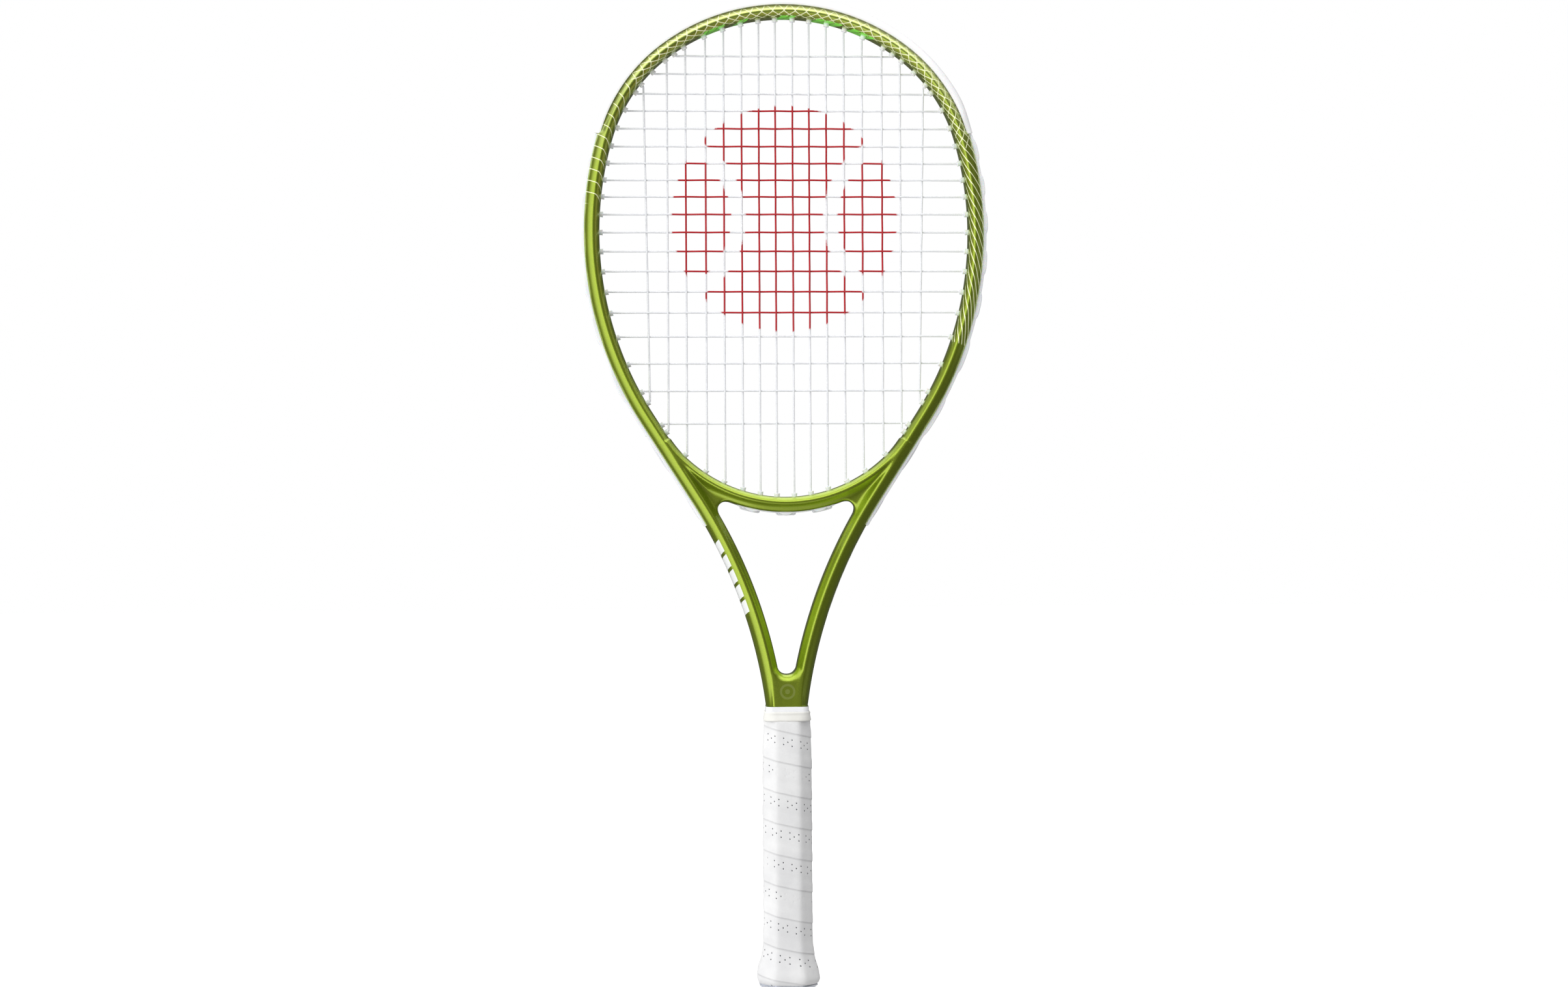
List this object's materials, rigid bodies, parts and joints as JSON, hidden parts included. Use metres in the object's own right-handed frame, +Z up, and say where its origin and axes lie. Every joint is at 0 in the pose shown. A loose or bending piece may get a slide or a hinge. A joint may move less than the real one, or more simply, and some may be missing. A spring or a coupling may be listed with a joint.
{
  "type": "tennis racket",
  "caption": "Strung graphite tennis racket with an open throat, head guard, side grommet strips, wrapped octagonal grip and a flared butt cap with a hinged door.",
  "frame": {"origin": "centre of the flat butt end, at the lowest point of the racket", "axes": "+Z up the handle towards the head, +X across the string bed, +Y square to the string bed"},
  "size_m": [0.284, 0.0398, 0.6889],
  "materials": {
    "frame_paint": "pearl lime green lacquer with fine white lines under clear coat, over graphite composite",
    "guard_plastic": "smooth white nylon",
    "grommet_plastic": "smooth white nylon",
    "string": "white multifilament string, slightly glossy, with a crimson stencil",
    "pallet_foam": "rigid foam, hidden under the grip",
    "cap_plastic": "smooth moulded plastic",
    "door_plastic": "blue-grey moulded plastic",
    "staple_steel": "plated wire",
    "grip": "white synthetic grip with rows of small perforations",
    "band_tape": "white vinyl tape",
    "collar_rubber": "cream rubber"
  },
  "bodies": {
    "racket": {"frame_tube": "frame_paint", "throat_bridge": "frame_paint", "bumper_guard": "guard_plastic", "grommet_strip_left": "grommet_plastic", "grommet_strip_right": "grommet_plastic", "throat_grommet_strip": "grommet_plastic", "main_string": "string", "cross_string": "string", "handle_pallet": "pallet_foam", "butt_cap": "cap_plastic", "butt_cap_staples": "staple_steel", "grip_tape": "grip", "grip_staple": "staple_steel", "finishing_tape": "band_tape", "rubber_collar": "collar_rubber"},
    "door": {"butt_cap_door": "door_plastic"}
  },
  "joints": [
    {"name": "butt_cap_door_hinge", "type": "hinge", "parent": "racket", "child": "door", "pos_m": [0, 0.0041, 0.0014], "axis": [1, 0, 0], "range_deg": [0, 95]}
  ]
}
